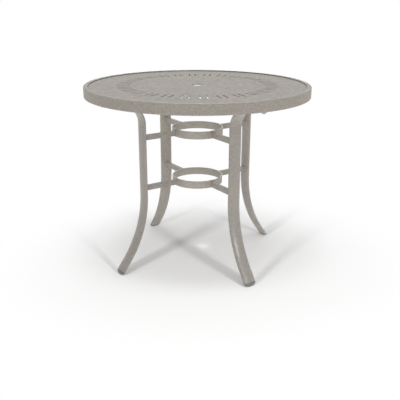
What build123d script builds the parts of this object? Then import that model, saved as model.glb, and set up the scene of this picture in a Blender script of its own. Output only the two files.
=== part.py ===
from build123d import *
import os
from math import cos, radians, sin, sqrt, tan

# Round balcony table: a punched top in a deep rim, four bent oval-tube legs and two tie rings on the axis.
# Millimetres, +Z up, origin on the floor at the table axis, legs on the X and Y axes.

# Overall sizes
table_height = 876.3
top_diameter = 1066.8

# Rim: rectangular tube rolled to a hoop, with a flat-bar ledge inside it that carries the panel
rim_height = 47.0
rim_width = 20.0
rim_wall = 2.5
rim_top_round = 4.0
rim_corner_round = 1.5
ledge_width = 26.0
ledge_thickness = 2.5

# Top panel with its umbrella hole and circle of paired drain slots
panel_recess = 4.5
panel_thickness = 4.0
panel_gap = 0.4
umbrella_hole = 50.8
slot_pairs = 28
slot_length = 66.0
slot_width = 7.5
slot_spacing = 31.0
slot_circle_radius = 349.0
slot_turn = -3.5

# Stitch welds along the ledge: its inner edge to the panel, its outer edge to the rim
stitch_count = 24
stitch_leg = 2.2
stitch_angle = 4.0
weld_gap = 0.02

# Stiffener ring and the channel braces under the panel
stiffener_diameter = 430.0
stiffener_thickness = 5.0
brace_width = 40.0
brace_depth = 17.0
brace_wall = 3.0
brace_bead_height = 9.0

# Legs: oval tube, centreline sizes
leg_width = 65.5
leg_depth = 20.5
leg_wall = 2.5
leg_circle_radius = 303.5
foot_bend_radius = 538.0
foot_bend_angle = 35.9
foot_tail = 76.0
top_bend_radius = 90.0
top_bend_angle = 77.35

# Foot glides and leg tip plugs
glide_collar = 2.0
glide_dome = 16.0
glide_flat = 1.0
plug_clearance = 0.2
glide_plug_length = 26.0
tip_clearance = 1.5
tip_cap_thickness = 2.0
tip_plug_length = 6.0

# Leg to brace fastening, set out from the leg tip
bolt_inset = 15.0
bolt_diameter = 8.0
bolt_clearance = 0.5
thread_clearance = 0.05
bolt_head_flats = 13.0
bolt_head_height = 5.3
bolt_head_bevel = 0.8
bolt_end_margin = 1.5
nut_across_flats = 13.0
nut_height = 6.5
washer_diameter = 24.0
washer_least = 1.6
sleeve_diameter = 12.0
saddle_width = 40.0
saddle_length = 34.0
saddle_inset = 3.0
saddle_least = 3.3

# Tie rings and struts
ring_diameter = 248.0
ring_thickness = 6.35
ring_height = 36.5
ring_round = 1.2
upper_ring_drop = 66.0
lower_ring_rise = 33.8
strut_width = 22.0
strut_height = 24.0
strut_wall = 2.0
strut_round = 3.0
weld_leg = 3.5
weld_toe = 0.4

os.makedirs("parts", exist_ok=True)

sides = {"right": 0, "back": 90, "left": 180, "front": 270}

# Levels and radii that follow from the sizes above
rim_radius = top_diameter / 2
rim_inner_radius = rim_radius - rim_width
ledge_radius = rim_inner_radius - ledge_width
rim_bottom = table_height - rim_height
panel_top = table_height - panel_recess
panel_bottom = panel_top - panel_thickness
ledge_bottom = panel_bottom - ledge_thickness
brace_bottom = panel_bottom - brace_depth
web_top = brace_bottom + brace_wall
stiffener_radius = stiffener_diameter / 2
ring_radius = ring_diameter / 2

# The leg centreline in the plane of the +X leg: the upper run ends just inside the rim, under the brace
foot_lean = radians(foot_bend_angle)
top_lean = radians(top_bend_angle)
run_slope = 1 / tan(top_lean)
run_half_depth = leg_depth / 2 / sin(top_lean)
tip_reach = tip_cap_thickness * sin(top_lean) + leg_depth / 2 * cos(top_lean)
leg_tip_radius = rim_inner_radius - tip_clearance - tip_reach
bolt_radius = leg_tip_radius - bolt_inset
saddle_end = leg_tip_radius - saddle_inset
saddle_start = saddle_end - saddle_length


def run_level(radius):
    return brace_bottom - saddle_least - run_half_depth - (saddle_end - radius) * run_slope


run_start_radius = leg_circle_radius + top_bend_radius * (1 - cos(top_lean))
run_start = (run_start_radius, run_level(run_start_radius))
top_bend_height = run_start[1] - top_bend_radius * sin(top_lean)
tail_top = (
    leg_circle_radius + foot_bend_radius * (1 - cos(foot_lean)),
    foot_tail * cos(foot_lean),
)
upright_start = tail_top[1] + foot_bend_radius * sin(foot_lean)

# Bolt heads and the tie rings follow the leg
bolt_seat = run_level(bolt_radius - washer_diameter / 2) - run_half_depth - washer_least
bolt_top = web_top + nut_height + bolt_end_margin
upper_ring_height = top_bend_height - upper_ring_drop
lower_ring_height = upright_start + lower_ring_rise

# The leg is cut square above the floor, and the domed glide on its end has a small flat where it stands
dome_drop = sqrt((leg_depth / 2 * sin(foot_lean)) ** 2 + (glide_dome * cos(foot_lean)) ** 2)
tube_end_level = dome_drop - glide_flat + glide_collar * cos(foot_lean)
tube_end = (tail_top[0] + (tail_top[1] - tube_end_level) * tan(foot_lean), tube_end_level)
leg_tip = (leg_tip_radius, run_level(leg_tip_radius))
foot_plane = Plane(
    origin=(tube_end[0], 0, tube_end[1]),
    x_dir=(0, 1, 0),
    z_dir=(sin(foot_lean), 0, -cos(foot_lean)),
)
tip_plane = Plane(
    origin=(leg_tip[0], 0, leg_tip[1]),
    x_dir=(0, 1, 0),
    z_dir=(sin(top_lean), 0, cos(top_lean)),
)


def export_four(piece, base_name):
    # one node at each leg line
    for side, turn in sides.items():
        with BuildPart() as placed:
            add(piece, rotation=(0, 0, turn))
        placed.part.label = f"{base_name}_{side}"
        export_step(placed.part, f"parts/{base_name}_{side}.step")


# Top panel
with BuildPart() as top_panel:
    with BuildSketch(Plane.XY.offset(panel_bottom)):
        Circle(rim_inner_radius - panel_gap)
        Circle(umbrella_hole / 2, mode=Mode.SUBTRACT)
        with PolarLocations(slot_circle_radius, slot_pairs, start_angle=slot_turn):
            with Locations((0, -slot_spacing / 2), (0, slot_spacing / 2)):
                SlotOverall(slot_length, slot_width, mode=Mode.SUBTRACT)
    extrude(amount=panel_thickness)
top_panel.part.label = "top_panel"
export_step(top_panel.part, "parts/top_panel.step")

# Rim hoop: hollow rectangular tube, its top standing above the panel as a lip
with BuildPart() as rim_hoop:
    with BuildSketch(Plane.XY.offset(rim_bottom)):
        Circle(rim_radius)
        Circle(rim_inner_radius, mode=Mode.SUBTRACT)
    extrude(amount=rim_height)
    fillet(rim_hoop.edges().group_by(Axis.Z)[-1].sort_by(SortBy.RADIUS)[-1], rim_top_round)
    fillet(rim_hoop.edges().group_by(Axis.Z)[-1].sort_by(SortBy.RADIUS)[0], rim_corner_round)
    fillet(rim_hoop.edges().group_by(Axis.Z)[0], rim_corner_round)
    with BuildSketch(Plane.XY.offset(rim_bottom + rim_wall)):
        Circle(rim_radius - rim_wall)
        Circle(rim_inner_radius + rim_wall, mode=Mode.SUBTRACT)
    extrude(amount=rim_height - 2 * rim_wall, mode=Mode.SUBTRACT)
rim_hoop.part.label = "rim_hoop"
export_step(rim_hoop.part, "parts/rim_hoop.step")

# Panel ledge: flat-bar ring inside the rim
with BuildPart() as panel_ledge:
    with BuildSketch(Plane.XY.offset(ledge_bottom)):
        Circle(rim_inner_radius)
        Circle(ledge_radius, mode=Mode.SUBTRACT)
    extrude(amount=ledge_thickness)
panel_ledge.part.label = "panel_ledge"
export_step(panel_ledge.part, "parts/panel_ledge.step")

# Short fillet welds along both edges of the ledge, each the corner of a triangle revolved a few degrees
stitch_corners = {
    "panel_stitch_welds": (ledge_radius - weld_gap, panel_bottom),
    "ledge_stitch_welds": (rim_inner_radius - weld_gap, ledge_bottom),
}
for set_name, (corner_radius, corner_level) in stitch_corners.items():
    with BuildPart() as stitch:
        with BuildSketch(Plane.XZ):
            with BuildLine():
                Polyline(
                    (corner_radius, corner_level),
                    (corner_radius - stitch_leg, corner_level),
                    (corner_radius, corner_level - stitch_leg),
                    close=True,
                )
            make_face()
        revolve(axis=Axis.Z, revolution_arc=stitch_angle)

    with BuildPart() as stitch_welds:
        for number in range(stitch_count):
            add(stitch.part, rotation=(0, 0, (number + 0.5) * 360 / stitch_count - stitch_angle / 2))
    stitch_welds.part.label = set_name
    export_step(stitch_welds.part, f"parts/{set_name}.step")

# Stiffener ring: flat bar on edge under the panel
with BuildPart() as stiffener_ring:
    with BuildSketch(Plane.XY.offset(brace_bottom)):
        Circle(stiffener_radius)
        Circle(stiffener_radius - stiffener_thickness, mode=Mode.SUBTRACT)
    extrude(amount=brace_depth)
stiffener_ring.part.label = "stiffener_ring"
export_step(stiffener_ring.part, "parts/stiffener_ring.step")

# Panel brace: upturned channel from the stiffener ring to the rim, notched under the ledge
with BuildPart() as brace:
    with BuildSketch(Plane.YZ):
        with Locations((0, brace_bottom)):
            Rectangle(brace_width, brace_depth, align=(Align.CENTER, Align.MIN))
        with Locations((0, web_top)):
            Rectangle(
                brace_width - 2 * brace_wall,
                brace_depth - brace_wall,
                align=(Align.CENTER, Align.MIN),
                mode=Mode.SUBTRACT,
            )
    extrude(amount=rim_radius)
    with BuildSketch(Plane.XY.offset(brace_bottom)):
        Circle(rim_inner_radius)
        Circle(stiffener_radius, mode=Mode.SUBTRACT)
    extrude(amount=brace_depth, mode=Mode.INTERSECT)
    with BuildSketch(Plane.XY.offset(ledge_bottom)):
        Circle(rim_radius)
        Circle(ledge_radius, mode=Mode.SUBTRACT)
    extrude(amount=panel_bottom - ledge_bottom, mode=Mode.SUBTRACT)
    with Locations((bolt_radius, 0, brace_bottom)):
        Cylinder(
            bolt_diameter / 2 + bolt_clearance,
            brace_wall,
            align=(Align.CENTER, Align.CENTER, Align.MIN),
            mode=Mode.SUBTRACT,
        )
export_four(brace.part, "panel_brace")

# Weld beads up both sides of each brace, at the stiffener ring and at the rim
brace_side = brace_width / 2
ring_corner = sqrt(stiffener_radius**2 - brace_side**2)
rim_corner = sqrt(rim_inner_radius**2 - brace_side**2)
with BuildPart() as inner_bead:
    with BuildSketch(Plane.XY.offset(web_top)):
        with BuildLine():
            Polyline(
                (ring_corner - weld_leg, brace_side),
                (ring_corner + weld_leg, brace_side),
                (ring_corner - weld_leg, brace_side + 2 * weld_leg),
                close=True,
            )
        make_face()
        Circle(stiffener_radius + weld_gap, mode=Mode.SUBTRACT)
    extrude(amount=brace_bead_height)

with BuildPart() as outer_bead:
    with BuildSketch(Plane.XY.offset(web_top)):
        with BuildLine():
            Polyline(
                (rim_corner + weld_leg, brace_side),
                (rim_corner - weld_leg, brace_side),
                (rim_corner + weld_leg, brace_side + 2 * weld_leg),
                close=True,
            )
        make_face()
        Circle(rim_inner_radius - weld_gap, mode=Mode.INTERSECT)
    extrude(amount=brace_bead_height)

with BuildPart() as brace_beads:
    add(inner_bead.part)
    add(outer_bead.part)
    mirror(about=Plane.XZ)

with BuildPart() as brace_weld_beads:
    for turn in sides.values():
        add(brace_beads.part, rotation=(0, 0, turn))
brace_weld_beads.part.label = "brace_weld_beads"
export_step(brace_weld_beads.part, "parts/brace_weld_beads.step")

# Outer and inner form of the sloping leg run, used to cope other pieces
run_length = (leg_tip_radius - run_start[0]) / sin(top_lean)
with BuildPart() as run_outer:
    with BuildSketch(tip_plane):
        Ellipse(leg_width / 2, leg_depth / 2)
    extrude(amount=-run_length)

with BuildPart() as run_inner:
    with BuildSketch(tip_plane):
        Ellipse(leg_width / 2 - leg_wall, leg_depth / 2 - leg_wall)
    extrude(amount=-run_length)

# Leg: one oval tube with a foot bend and a top bend
with BuildPart() as leg:
    with BuildLine(Plane.XZ) as leg_line:
        Line(tube_end, tail_top)
        CenterArc(
            (leg_circle_radius + foot_bend_radius, upright_start),
            foot_bend_radius,
            180 + foot_bend_angle,
            -foot_bend_angle,
        )
        Line((leg_circle_radius, upright_start), (leg_circle_radius, top_bend_height))
        CenterArc(
            (leg_circle_radius + top_bend_radius, top_bend_height),
            top_bend_radius,
            180,
            -top_bend_angle,
        )
        Line(run_start, leg_tip)
    with BuildSketch(foot_plane):
        Ellipse(leg_width / 2, leg_depth / 2)
        Ellipse(leg_width / 2 - leg_wall, leg_depth / 2 - leg_wall, mode=Mode.SUBTRACT)
    sweep(path=leg_line.line)
    with Locations((bolt_radius, 0, run_level(bolt_radius))):
        Cylinder(bolt_diameter / 2 + bolt_clearance, 2 * leg_depth, mode=Mode.SUBTRACT)
export_four(leg.part, "leg")

# Foot glide: oval cap flush with the tube and domed below, with a plug up the tube
with BuildPart() as glide:
    with BuildSketch(foot_plane):
        Ellipse(leg_width / 2, leg_depth / 2)
    extrude(amount=glide_collar)
    for angle in (0, 18, 36, 54, 68, 80):
        narrow = cos(radians(angle))
        reach = glide_collar + glide_dome * sin(radians(angle))
        with BuildSketch(foot_plane.offset(reach)):
            Ellipse(narrow * leg_width / 2, narrow * leg_depth / 2)
    loft()
    split(bisect_by=Plane.XY, keep=Keep.TOP)
    with BuildSketch(foot_plane):
        Ellipse(leg_width / 2 - leg_wall - plug_clearance, leg_depth / 2 - leg_wall - plug_clearance)
    extrude(amount=-glide_plug_length)
export_four(glide.part, "foot_glide")

# Leg tip plug: cap on the tube end, plug inside it
with BuildPart() as tip_plug:
    with BuildSketch(tip_plane):
        Ellipse(leg_width / 2, leg_depth / 2)
    extrude(amount=tip_cap_thickness)
    with BuildSketch(tip_plane):
        Ellipse(leg_width / 2 - leg_wall - plug_clearance, leg_depth / 2 - leg_wall - plug_clearance)
    extrude(amount=-tip_plug_length)
export_four(tip_plug.part, "leg_tip_plug")

# Leg saddle: wedge between the sloping leg run and the level brace
with BuildPart() as saddle:
    with BuildSketch(Plane.XZ):
        with BuildLine():
            Polyline(
                (saddle_start, run_level(saddle_start)),
                (saddle_end, run_level(saddle_end)),
                (saddle_end, brace_bottom),
                (saddle_start, brace_bottom),
                close=True,
            )
        make_face()
    extrude(amount=saddle_width / 2, both=True)
    add(run_outer.part, mode=Mode.SUBTRACT)
    with Locations((bolt_radius, 0, brace_bottom)):
        Cylinder(bolt_diameter / 2 + bolt_clearance, 4 * leg_depth, mode=Mode.SUBTRACT)
export_four(saddle.part, "leg_saddle")

# Fastener set of one leg: hex-head bolt, shaped washer, tube sleeve and weld nut
with BuildPart() as bolt:
    with BuildSketch(Plane((bolt_radius, 0, bolt_seat))):
        RegularPolygon(bolt_head_flats / 2, 6, major_radius=False)
    extrude(amount=-bolt_head_height)
    chamfer(bolt.edges().group_by(Axis.Z)[0], bolt_head_bevel)
    with BuildSketch(Plane((bolt_radius, 0, bolt_seat))):
        Circle(bolt_diameter / 2)
    extrude(amount=bolt_top - bolt_seat)

with BuildPart() as washer:
    with BuildSketch(Plane((bolt_radius, 0, bolt_seat))):
        Circle(washer_diameter / 2)
        Circle(bolt_diameter / 2 + bolt_clearance, mode=Mode.SUBTRACT)
    extrude(amount=run_level(bolt_radius) - bolt_seat)
    add(run_outer.part, mode=Mode.SUBTRACT)

with BuildPart() as sleeve:
    with BuildSketch(Plane((bolt_radius, 0, run_level(bolt_radius) - leg_depth))):
        Circle(sleeve_diameter / 2)
        Circle(bolt_diameter / 2 + bolt_clearance, mode=Mode.SUBTRACT)
    extrude(amount=2 * leg_depth)
    add(run_inner.part, mode=Mode.INTERSECT)

with BuildPart() as nut:
    with BuildSketch(Plane((bolt_radius, 0, web_top))):
        RegularPolygon(nut_across_flats / 2, 6, major_radius=False)
        Circle(bolt_diameter / 2 + thread_clearance, mode=Mode.SUBTRACT)
    extrude(amount=nut_height)

fastener_sets = {
    "leg_bolts": bolt,
    "leg_bolt_washers": washer,
    "leg_bolt_sleeves": sleeve,
    "brace_weld_nuts": nut,
}
for set_name, fastener in fastener_sets.items():
    with BuildPart() as fasteners:
        for turn in sides.values():
            add(fastener.part, rotation=(0, 0, turn))
    fasteners.part.label = set_name
    export_step(fasteners.part, f"parts/{set_name}.step")

# Tie rings, struts and their weld beads, at the two ring heights
ring_levels = {"upper": upper_ring_height, "lower": lower_ring_height}


def strut_outline(grow):
    RectangleRounded(strut_width + 2 * grow, strut_height + 2 * grow, strut_round + grow)


ring_beads = []
leg_beads = []
leg_face = leg_circle_radius - leg_depth / 2
for level_name, level in ring_levels.items():
    with BuildPart() as ring:
        with BuildSketch(Plane.XY.offset(level - ring_height / 2)):
            Circle(ring_radius)
            Circle(ring_radius - ring_thickness, mode=Mode.SUBTRACT)
        extrude(amount=ring_height)
        fillet(ring.edges().filter_by(GeomType.CIRCLE), ring_round)
    ring.part.label = f"{level_name}_ring"
    export_step(ring.part, f"parts/{level_name}_ring.step")

    with BuildPart() as ring_core:
        with Locations((0, 0, level)):
            Cylinder(ring_radius, ring_height)

    with BuildPart() as leg_core:
        with BuildSketch(Plane((leg_circle_radius, 0, level - strut_height), x_dir=(0, 1, 0), z_dir=(0, 0, 1))):
            Ellipse(leg_width / 2, leg_depth / 2)
        extrude(amount=2 * strut_height)

    with BuildPart() as strut:
        with BuildSketch(Plane((0, 0, level), x_dir=(0, 1, 0), z_dir=(1, 0, 0))):
            strut_outline(0)
            RectangleRounded(
                strut_width - 2 * strut_wall,
                strut_height - 2 * strut_wall,
                strut_round - strut_wall / 2,
                mode=Mode.SUBTRACT,
            )
        extrude(amount=leg_circle_radius)
        add(ring_core.part, mode=Mode.SUBTRACT)
        add(leg_core.part, mode=Mode.SUBTRACT)
    export_four(strut.part, f"{level_name}_strut")

    # each bead tapers from the ring or the leg out along the strut
    with BuildPart() as strut_core:
        with BuildSketch(Plane((0, 0, level), x_dir=(0, 1, 0), z_dir=(1, 0, 0))):
            strut_outline(0)
        extrude(amount=leg_circle_radius)

    with BuildPart() as ring_bead:
        for distance, grow in ((ring_radius - weld_leg, 2 * weld_leg), (ring_radius + weld_leg, weld_toe)):
            with BuildSketch(Plane((distance, 0, level), x_dir=(0, 1, 0), z_dir=(1, 0, 0))):
                strut_outline(grow)
        loft()
        add(strut_core.part, mode=Mode.SUBTRACT)
        add(ring_core.part, mode=Mode.SUBTRACT)
    ring_beads.append(ring_bead.part)

    with BuildPart() as leg_bead:
        for distance, grow in ((leg_face + weld_leg, 2 * weld_leg), (leg_face - weld_leg, weld_toe)):
            with BuildSketch(Plane((distance, 0, level), x_dir=(0, 1, 0), z_dir=(1, 0, 0))):
                strut_outline(grow)
        loft()
        add(strut_core.part, mode=Mode.SUBTRACT)
        add(leg_core.part, mode=Mode.SUBTRACT)
    leg_beads.append(leg_bead.part)

for set_name, beads in {"ring_weld_beads": ring_beads, "leg_weld_beads": leg_beads}.items():
    with BuildPart() as weld_set:
        for bead in beads:
            for turn in sides.values():
                add(bead, rotation=(0, 0, turn))
    weld_set.part.label = set_name
    export_step(weld_set.part, f"parts/{set_name}.step")
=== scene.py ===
import bpy
from math import cos, pi, radians, sin
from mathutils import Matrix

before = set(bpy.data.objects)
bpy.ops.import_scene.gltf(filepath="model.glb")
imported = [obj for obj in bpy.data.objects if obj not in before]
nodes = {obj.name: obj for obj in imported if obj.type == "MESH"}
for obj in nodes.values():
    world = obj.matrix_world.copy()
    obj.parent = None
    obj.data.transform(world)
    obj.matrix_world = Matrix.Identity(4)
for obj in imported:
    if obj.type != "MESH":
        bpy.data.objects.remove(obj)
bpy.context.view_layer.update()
sides = ("right", "back", "left", "front")
print("frame loaded:", len(nodes), "nodes")


# node helpers

def addNode(tree, kind, x=0, y=0, **settings):
    node = tree.nodes.new(kind)
    node.location = (x, y)
    for key, value in settings.items():
        setattr(node, key, value)
    return node


def wire(tree, source, target):
    tree.links.new(source, target)


def feed(tree, value, socket):  # a number is set, a socket is wired
    if isinstance(value, (int, float)):
        socket.default_value = value
    else:
        wire(tree, value, socket)


def mathNode(tree, operation, first, second, x=0, y=0):
    node = addNode(tree, "ShaderNodeMath", x, y, operation=operation)
    feed(tree, first, node.inputs[0])
    feed(tree, second, node.inputs[1])
    return node.outputs[0]


def rangeNode(tree, value, low, high, toLow, toHigh, x=0, y=0):
    node = addNode(tree, "ShaderNodeMapRange", x, y)
    ends = {"Value": value, "From Min": low, "From Max": high, "To Min": toLow, "To Max": toHigh}
    for label, end in ends.items():
        feed(tree, end, node.inputs[label])
    return node.outputs["Result"]


def noiseNode(tree, vector, scale, detail, roughness, x=0, y=0):
    node = addNode(tree, "ShaderNodeTexNoise", x, y)
    wire(tree, vector, node.inputs["Vector"])
    feed(tree, scale, node.inputs["Scale"])
    node.inputs["Detail"].default_value = detail
    node.inputs["Roughness"].default_value = roughness
    return node.outputs["Fac"]


def newGroup(name, inputs, outputs):
    tree = bpy.data.node_groups.new(name, "ShaderNodeTree")
    for label, kind, value in inputs:
        socket = tree.interface.new_socket(name=label, in_out="INPUT", socket_type=kind)
        if value is not None:
            socket.default_value = value
    for label, kind in outputs:
        tree.interface.new_socket(name=label, in_out="OUTPUT", socket_type=kind)
    entry = addNode(tree, "NodeGroupInput", -1200, 0)
    leave = addNode(tree, "NodeGroupOutput", 900, 0)
    return tree, entry.outputs, leave.inputs


# mottled grain, shared by every coated or moulded finish
grainMix = {
    "noiseLow": 0.3, "noiseHigh": 0.7,  # most of a noise lies between these
    "driftScale": 5.0, "driftDepth": 0.02,  # slow change of tone over the piece
    "blotchHeight": 0.6, "grainHeight": 0.4,  # shares in the bump and the roughness
}


def swing(tree, noise, depth, x, y):
    return rangeNode(tree, noise, grainMix["noiseLow"], grainMix["noiseHigh"], -depth, depth, x, y)


def buildGrain():
    tree, given, result = newGroup(
        "surfaceGrain",
        (
            ("Vector", "NodeSocketVector", None),
            ("Colour", "NodeSocketColor", (0.5, 0.5, 0.5, 1)),
            ("Blotch Scale", "NodeSocketFloat", 150.0),
            ("Blotch Depth", "NodeSocketFloat", 0.1),
            ("Grain Scale", "NodeSocketFloat", 700.0),
            ("Grain Depth", "NodeSocketFloat", 0.05),
            ("Rough Low", "NodeSocketFloat", 0.4),
            ("Rough High", "NodeSocketFloat", 0.6),
        ),
        (
            ("Colour", "NodeSocketColor"),
            ("Roughness", "NodeSocketFloat"),
            ("Height", "NodeSocketFloat"),
        ),
    )
    vector = given["Vector"]
    blotch = noiseNode(tree, vector, given["Blotch Scale"], 2.0, 0.55, -900, 300)
    grain = noiseNode(tree, vector, given["Grain Scale"], 1.0, 0.5, -900, 0)
    drift = noiseNode(tree, vector, grainMix["driftScale"], 1.0, 0.5, -900, -300)
    blotchSwing = swing(tree, blotch, 1.0, -680, 300)
    grainSwing = swing(tree, grain, 1.0, -680, 0)
    driftSwing = swing(tree, drift, grainMix["driftDepth"], -680, -300)
    blotchTone = mathNode(tree, "MULTIPLY", blotchSwing, given["Blotch Depth"], -460, 300)
    grainTone = mathNode(tree, "MULTIPLY", grainSwing, given["Grain Depth"], -460, 0)
    tone = mathNode(tree, "ADD", blotchTone, grainTone, -240, 200)
    tone = mathNode(tree, "ADD", tone, driftSwing, -60, 200)
    tone = mathNode(tree, "ADD", tone, 1.0, 100, 200)
    tint = addNode(tree, "ShaderNodeVectorMath", 320, 200, operation="SCALE")
    wire(tree, given["Colour"], tint.inputs[0])
    wire(tree, tone, tint.inputs["Scale"])
    wire(tree, tint.outputs[0], result["Colour"])
    blotchRise = mathNode(tree, "MULTIPLY", blotch, grainMix["blotchHeight"], -240, -100)
    grainRise = mathNode(tree, "MULTIPLY", grain, grainMix["grainHeight"], -240, -260)
    height = mathNode(tree, "ADD", blotchRise, grainRise, -60, -160)
    rough = rangeNode(
        tree, height, grainMix["noiseLow"], grainMix["noiseHigh"],
        given["Rough Low"], given["Rough High"], 320, -60,
    )
    wire(tree, rough, result["Roughness"])
    wire(tree, height, result["Height"])
    return tree


grainGroup = buildGrain()


def grainMaterial(name, look):
    material = bpy.data.materials.new(name)
    material.use_nodes = True
    tree = material.node_tree
    shader = tree.nodes["Principled BSDF"]
    place = addNode(tree, "ShaderNodeTexCoord", -900, 0)
    grain = addNode(tree, "ShaderNodeGroup", -600, 0, node_tree=grainGroup)
    wire(tree, place.outputs["Object"], grain.inputs["Vector"])
    grain.inputs["Colour"].default_value = (*look["colour"], 1)
    for label, key in (
        ("Blotch Scale", "blotchScale"), ("Blotch Depth", "blotchDepth"),
        ("Grain Scale", "grainScale"), ("Grain Depth", "grainDepth"),
        ("Rough Low", "roughLow"), ("Rough High", "roughHigh"),
    ):
        grain.inputs[label].default_value = look[key]
    bump = addNode(tree, "ShaderNodeBump", -250, -250)
    bump.inputs["Strength"].default_value = look["bump"]
    bump.inputs["Distance"].default_value = look["bumpDistance"]
    wire(tree, grain.outputs["Height"], bump.inputs["Height"])
    wire(tree, grain.outputs["Colour"], shader.inputs["Base Color"])
    wire(tree, grain.outputs["Roughness"], shader.inputs["Roughness"])
    wire(tree, bump.outputs["Normal"], shader.inputs["Normal"])
    shader.inputs["Specular IOR Level"].default_value = look["gloss"]
    return material


# painted shade: walls sunk into the top get a darker colour, standing in for the shade that falls
# in them
def buildPaintedShade():
    tree, given, result = newGroup(
        "paintedRecessShade",
        (
            ("Colour", "NodeSocketColor", (0.5, 0.5, 0.5, 1)),
            ("Place", "NodeSocketFloat", 0.0),
            ("Dark At", "NodeSocketFloat", 0.0),
            ("Clear At", "NodeSocketFloat", 1.0),
            ("Shade", "NodeSocketFloat", 0.5),
        ),
        (("Colour", "NodeSocketColor"),),
    )
    share = rangeNode(
        tree, given["Place"], given["Dark At"], given["Clear At"], given["Shade"], 1.0, -400, 0,
    )
    tint = addNode(tree, "ShaderNodeVectorMath", 0, 0, operation="SCALE")
    wire(tree, given["Colour"], tint.inputs[0])
    wire(tree, share, tint.inputs["Scale"])
    wire(tree, tint.outputs[0], result["Colour"])
    return tree


paintedShadeGroup = buildPaintedShade()


# paints shade into the base colour, by distance from a plane or an axis
def paintRecessShade(material, shadeLook):
    tree = material.node_tree
    source = tree.nodes["Texture Coordinate"].outputs["Object"]
    flat = addNode(tree, "ShaderNodeVectorMath", -700, 400, operation="MULTIPLY_ADD")
    flat.inputs[1].default_value = shadeLook["along"]
    flat.inputs[2].default_value = shadeLook["offset"]
    wire(tree, source, flat.inputs[0])
    reach = addNode(tree, "ShaderNodeVectorMath", -500, 400, operation="LENGTH")
    wire(tree, flat.outputs[0], reach.inputs[0])
    shade = addNode(tree, "ShaderNodeGroup", -250, 200, node_tree=paintedShadeGroup)
    wire(tree, tree.nodes["Group"].outputs["Colour"], shade.inputs["Colour"])
    wire(tree, reach.outputs["Value"], shade.inputs["Place"])
    for label, key in (("Dark At", "darkAt"), ("Clear At", "clearAt"), ("Shade", "shade")):
        shade.inputs[label].default_value = shadeLook[key]
    wire(tree, shade.outputs["Colour"], tree.nodes["Principled BSDF"].inputs["Base Color"])


# textured warm-grey powder coat on the frame
coat = {
    "colour": (0.353, 0.3245, 0.2885),
    "blotchScale": 140.0, "blotchDepth": 0.15,
    "grainScale": 560.0, "grainDepth": 0.12,
    "roughLow": 0.28, "roughHigh": 0.36,
    "bump": 0.2, "bumpDistance": 0.0003, "gloss": 0.45,
}
coatFrame = grainMaterial("coatFrame", coat)

# the same coat on the panel, coarser and duller
panelCoat = dict(
    coat, blotchScale=75.0, blotchDepth=0.3, grainDepth=0.14,
    roughLow=0.42, roughHigh=0.62, bump=0.35, bumpDistance=0.0006,
)
# painted shade on the slot and hole walls
panelCutShade = {  # slot and hole walls, by distance from the middle of the sheet
    "along": (0, 0, 1), "offset": (0, 0, -0.8698),
    "darkAt": 0.0012, "clearAt": 0.0019, "shade": 0.5,
}
coatPanel = grainMaterial("coatPanel", panelCoat)
paintRecessShade(coatPanel, panelCutShade)

# and on the rim, with less sheen; its colour is a little lighter than the coat's as painted light,
# making up for the lost sheen
litRimCoat = dict(
    coat, colour=(0.368, 0.338, 0.301), roughLow=0.45, roughHigh=0.55, bump=0.08, gloss=0.12,
)
# painted shade on the rim's inner wall
rimRecessShade = {  # inner wall, by radius
    "along": (1, 1, 0), "offset": (0, 0, 0),
    "darkAt": 0.5138, "clearAt": 0.5148, "shade": 0.65,
}
coatRim = grainMaterial("coatRim", litRimCoat)
paintRecessShade(coatRim, rimRecessShade)

# coated weld beads, with the ripple of the weld under the coat
weld = dict(coat, bump=0.6, bumpDistance=0.001)
weldRipple = {"bands": 260.0, "waver": 3.0, "share": 0.6}
coatWeld = grainMaterial("coatWeld", weld)
tree = coatWeld.node_tree
wave = addNode(
    tree, "ShaderNodeTexWave", -600, -420, wave_type="RINGS", rings_direction="SPHERICAL",
)
wave.inputs["Scale"].default_value = weldRipple["bands"]
wave.inputs["Distortion"].default_value = weldRipple["waver"]
wire(tree, tree.nodes["Texture Coordinate"].outputs["Object"], wave.inputs["Vector"])
ripple = mathNode(tree, "MULTIPLY", wave.outputs["Fac"], weldRipple["share"], -420, -420)
raised = mathNode(tree, "ADD", ripple, tree.nodes["Group"].outputs["Height"], -380, -300)
wire(tree, raised, tree.nodes["Bump"].inputs["Height"])

# moulded glides and plugs
glide = {
    "colour": (0.19, 0.179, 0.165),
    "blotchScale": 90.0, "blotchDepth": 0.05,
    "grainScale": 1500.0, "grainDepth": 0.05,
    "roughLow": 0.3, "roughHigh": 0.4,
    "bump": 0.15, "bumpDistance": 0.0003, "gloss": 0.45,
}
plug = dict(glide, colour=(0.27, 0.25, 0.226))
glidePlastic = grainMaterial("glidePlastic", glide)
plugPlastic = grainMaterial("plugPlastic", plug)

# dull zinc on bolts, washers, sleeves and nuts
zinc = {
    "colour": (0.42, 0.415, 0.395),
    "blotchScale": 220.0, "blotchDepth": 0.08,
    "grainScale": 1800.0, "grainDepth": 0.04,
    "roughLow": 0.34, "roughHigh": 0.5,
    "bump": 0.15, "bumpDistance": 0.0002, "gloss": 0.5,
}
zincNodes = ("leg_bolts", "leg_bolt_washers", "leg_bolt_sleeves", "brace_weld_nuts")
zincSteel = grainMaterial("zincSteel", zinc)
zincSteel.node_tree.nodes["Principled BSDF"].inputs["Metallic"].default_value = 1.0


def finishOf(name):
    if name == "top_panel":
        return coatPanel
    if name == "rim_hoop":
        return coatRim
    if name.startswith("foot_glide"):
        return glidePlastic
    if name.startswith("leg_tip_plug"):
        return plugPlastic
    if name in zincNodes:
        return zincSteel
    if "weld" in name:
        return coatWeld
    return coatFrame


for name in nodes:
    mesh = nodes[name].data
    mesh.materials.clear()
    mesh.materials.append(finishOf(name))
print("finishes on", len(nodes), "nodes")


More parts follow.
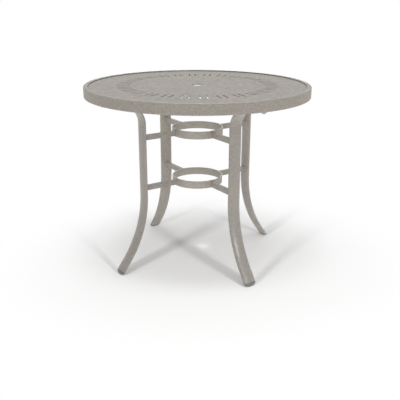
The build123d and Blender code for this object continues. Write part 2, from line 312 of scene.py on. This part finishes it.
# camera at the photograph's angle, for a square picture
lens = {
    "distance": 2.7739, "height": 1.2810, "turn": 33.684,
    "pitch": 19.636, "yaw": -0.289, "roll": 0.225,
    "focalPixels": 579.82, "pixels": 400, "sensor": 36.0,
}
turn = radians(lens["turn"])
view = bpy.data.cameras.new("studioCamera")
view.sensor_width = lens["sensor"]
view.lens = lens["focalPixels"] * lens["sensor"] / lens["pixels"]
cameraObject = bpy.data.objects.new("studioCamera", view)
bpy.context.scene.collection.objects.link(cameraObject)
cameraObject.location = (
    -lens["distance"] * sin(turn), -lens["distance"] * cos(turn), lens["height"],
)
cameraObject.rotation_euler = (radians(90 - lens["pitch"]), 0, radians(lens["yaw"]) - turn)
cameraObject.rotation_euler.rotate_axis("Z", radians(lens["roll"]))
bpy.context.scene.camera = cameraObject
bpy.context.scene.view_settings.view_transform = "Standard"
print("camera placed")


def seenRay(tree):  # 1 where the eye, a reflection or glass looks, 0 for the light that bounces
    path = addNode(tree, "ShaderNodeLightPath", -900, 0)
    camera, glossy = path.outputs["Is Camera Ray"], path.outputs["Is Glossy Ray"]
    seen = mathNode(tree, "MAXIMUM", camera, glossy, -700, 0)
    return mathNode(tree, "MAXIMUM", seen, path.outputs["Is Transmission Ray"], -520, 0)


# pale floor that fades to a white backdrop around the table
floorLook = {
    "size": 60.0,
    "seen": 0.8, "bounce": 0.94,  # grey as seen, and as it lights the object
    "centre": (-0.033, -0.196, 0), "fadeFrom": 0.44, "whiteAt": 1.17,
}
bpy.ops.object.select_all(action="DESELECT")
bpy.ops.mesh.primitive_plane_add(size=floorLook["size"], location=(0, 0, 0))
floor = bpy.context.object
floor.name = "floor"
floorPaint = bpy.data.materials.new("floorPaint")
floorPaint.use_nodes = True
tree = floorPaint.node_tree
floorShader = tree.nodes["Principled BSDF"]
floorShader.inputs["Roughness"].default_value = 1.0
floorShader.inputs["Specular IOR Level"].default_value = 0.0
seen = seenRay(tree)
grey = rangeNode(tree, seen, 0.0, 1.0, floorLook["bounce"], floorLook["seen"], -300, 0)
wire(tree, grey, floorShader.inputs["Base Color"])
place = addNode(tree, "ShaderNodeTexCoord", -900, 300)
centred = addNode(tree, "ShaderNodeVectorMath", -800, 300, operation="SUBTRACT")
centred.inputs[1].default_value = floorLook["centre"]
wire(tree, place.outputs["Object"], centred.inputs[0])
reach = addNode(tree, "ShaderNodeVectorMath", -700, 300, operation="LENGTH")
wire(tree, centred.outputs[0], reach.inputs[0])
away = rangeNode(
    tree, reach.outputs["Value"], floorLook["fadeFrom"], floorLook["whiteAt"], 0.0, 1.0, -520, 300,
)
away.node.interpolation_type = "SMOOTHSTEP"
white = addNode(tree, "ShaderNodeEmission", -100, -300)
fade = addNode(tree, "ShaderNodeMixShader", 300, 0)
wire(tree, mathNode(tree, "MULTIPLY", away, seen, -300, 300), fade.inputs["Fac"])
wire(tree, floorShader.outputs["BSDF"], fade.inputs[1])
wire(tree, white.outputs["Emission"], fade.inputs[2])
wire(tree, fade.outputs["Shader"], tree.nodes["Material Output"].inputs["Surface"])
floor.data.materials.append(floorPaint)

# white surround, with soft light from the horizon, more from overhead and from the right
surround = {"low": 0.36, "high": 0.72, "lean": 0.2, "seen": 1.0}
world = bpy.data.worlds.new("studioWorld")
bpy.context.scene.world = world
world.use_nodes = True
tree = world.node_tree
background = tree.nodes["Background"]
background.inputs["Color"].default_value = (1, 1, 1, 1)
seen = seenRay(tree)
heading = addNode(tree, "ShaderNodeTexCoord", -900, -300).outputs["Generated"]
split = addNode(tree, "ShaderNodeSeparateXYZ", -700, -300)
wire(tree, heading, split.inputs[0])
sky = rangeNode(tree, split.outputs["Z"], 0.0, 1.0, surround["low"], surround["high"], -500, -300)
lean = addNode(tree, "ShaderNodeVectorMath", -700, -500, operation="DOT_PRODUCT")
lean.inputs[1].default_value = (surround["lean"] * cos(turn), -surround["lean"] * sin(turn), 0)
wire(tree, heading, lean.inputs[0])
leaned = mathNode(tree, "ADD", lean.outputs["Value"], 1.0, -500, -500)
sky = mathNode(tree, "MULTIPLY", sky, leaned, -380, -400)
strength = rangeNode(tree, seen, 0.0, 1.0, sky, surround["seen"], -250, 0)
wire(tree, strength, background.inputs["Strength"])
print("floor and surround placed")


# lamps: share is of the light on a level floor, spread, rise and azimuth are in degrees
def sunLamp(name, look):
    lamp = bpy.data.lights.new(name, "SUN")
    lamp.energy = look["share"] * pi / sin(radians(look["rise"]))
    lamp.angle = radians(look["spread"])
    lampObject = bpy.data.objects.new(name, lamp)
    tilt = radians(90 - look["rise"])
    lampObject.rotation_euler = (tilt, 0, radians(look["azimuth"]))  # azimuth 0 shines along +Y
    bpy.context.scene.collection.objects.link(lampObject)
    return lampObject


def lampGroup(name, members):
    group = bpy.data.collections.new(name)
    for member in members:
        group.objects.link(member)
    return group


# two soft lamps overhead, each to its side of the camera
overhead = {"share": 0.12, "spread": 14.0, "rise": 78.0, "aside": 38.0}
for name, aside in (("overheadRight", overhead["aside"]), ("overheadLeft", -overhead["aside"])):
    sunLamp(name, dict(overhead, azimuth=aside - lens["turn"]))

# fills for the pieces below the top, which doesn't shade the first two
innerFill = {"share": 0.18, "spread": 40.0, "rise": 32.0, "azimuth": -lens["turn"]}
strutFill = {"share": 0.4, "spread": 40.0, "rise": 78.0, "azimuth": -lens["turn"]}
legFill = {"share": 0.016, "spread": 40.0, "rise": 12.0, "azimuth": 0.0}
unfilled = (
    "top_panel", "rim_hoop", "leg_left", "leg_front", "foot_glide_left", "foot_glide_front",
)
strutParts = [nodes[name] for name in nodes if "_strut_" in name]
filledParts = [
    nodes[name] for name in nodes if name not in unfilled and "_strut_" not in name
]
underParts = [
    nodes[name] for name in nodes if name.startswith(("leg_", "foot_", "upper_", "lower_"))
]
legParts = [nodes[f"{part}_{side}"] for part in ("leg", "foot_glide") for side in sides]
innerLamp = sunLamp("innerFill", innerFill)
innerLamp.light_linking.receiver_collection = lampGroup("filled", filledParts)
underframe = lampGroup("underframe", underParts)
innerLamp.light_linking.blocker_collection = underframe
strutLamp = sunLamp("strutFill", strutFill)
strutLamp.light_linking.receiver_collection = lampGroup("struts", strutParts)
strutLamp.light_linking.blocker_collection = underframe
legLamp = sunLamp("legFill", legFill)
legLamp.light_linking.receiver_collection = lampGroup("legs", legParts)

# sheen only: level is the lamp's strength, aside is turned from the camera's direction
rimParts = [nodes["rim_hoop"]]
ringParts = [nodes["upper_ring"], nodes["lower_ring"]]
glints = {
    "glintLow": {"level": 0.3, "spread": 3.0, "rise": 18.0, "aside": 45.0, "on": legParts},
    "glintHigh": {"level": 0.12, "spread": 3.0, "rise": 42.0, "aside": 45.0, "on": legParts},
    "lipGlint": {"level": 0.1, "spread": 20.0, "rise": 14.0, "aside": 180, "on": rimParts},
    "ringGlint": {"level": 0.06, "spread": 20.0, "rise": 14.0, "aside": 180, "on": ringParts},
}
for name, glint in glints.items():
    share = glint["level"] * sin(radians(glint["rise"]))
    lampObject = sunLamp(name, dict(glint, share=share, azimuth=glint["aside"] - lens["turn"]))
    lampObject.visible_diffuse = False
    lampObject.light_linking.receiver_collection = lampGroup(name, glint["on"])

# the bright spot on the floor, through the umbrella hole
holeBeam = {
    "share": 0.3, "rise": 84.3, "azimuth": -54.0,
    "holeHeight": 0.87, "distance": 6.0, "radius": 0.2, "cone": 4.0,
}
floorOnly = lampGroup("floorOnly", [floor])
throw = holeBeam["distance"] + holeBeam["holeHeight"]
slope, bearing = radians(holeBeam["rise"]), radians(holeBeam["azimuth"])
beam = bpy.data.lights.new("holeBeam", "SPOT")
beam.energy = holeBeam["share"] * pi * 4 * pi * throw ** 2  # power over the whole sphere
beam.spot_size = radians(holeBeam["cone"])
beam.shadow_soft_size = holeBeam["radius"]
beamObject = bpy.data.objects.new("holeBeam", beam)
beamObject.rotation_euler = (radians(90 - holeBeam["rise"]), 0, bearing)
beamObject.location = (
    holeBeam["distance"] * cos(slope) * sin(bearing),
    -holeBeam["distance"] * cos(slope) * cos(bearing),
    holeBeam["distance"] * sin(slope) + holeBeam["holeHeight"],
)
bpy.context.scene.collection.objects.link(beamObject)
beamObject.light_linking.receiver_collection = floorOnly

# two low lamps that cast the crossed leg shadows, even over the floor
legShadow = {"power": 22.0, "radius": 0.24, "distance": 3.14, "height": 1.09, "aside": 35.0}
legsOnly = lampGroup("legsOnly", legParts)
for name, aside in (("legLampLeft", legShadow["aside"]), ("legLampRight", -legShadow["aside"])):
    lamp = bpy.data.lights.new(name, "POINT")
    lamp.energy = legShadow["power"]
    lamp.shadow_soft_size = legShadow["radius"]
    lamp.use_nodes = True
    tree = lamp.node_tree
    falloff = addNode(tree, "ShaderNodeLightFalloff", -300, 0)
    falloff.inputs["Strength"].default_value = 1.0
    wire(tree, falloff.outputs["Constant"], tree.nodes["Emission"].inputs["Strength"])
    lampObject = bpy.data.objects.new(name, lamp)
    bearing = turn + radians(aside)
    lampObject.location = (
        -legShadow["distance"] * sin(bearing),
        -legShadow["distance"] * cos(bearing),
        legShadow["height"],
    )
    bpy.context.scene.collection.objects.link(lampObject)
    lampObject.light_linking.receiver_collection = floorOnly
    lampObject.light_linking.blocker_collection = legsOnly
print("lamps placed")
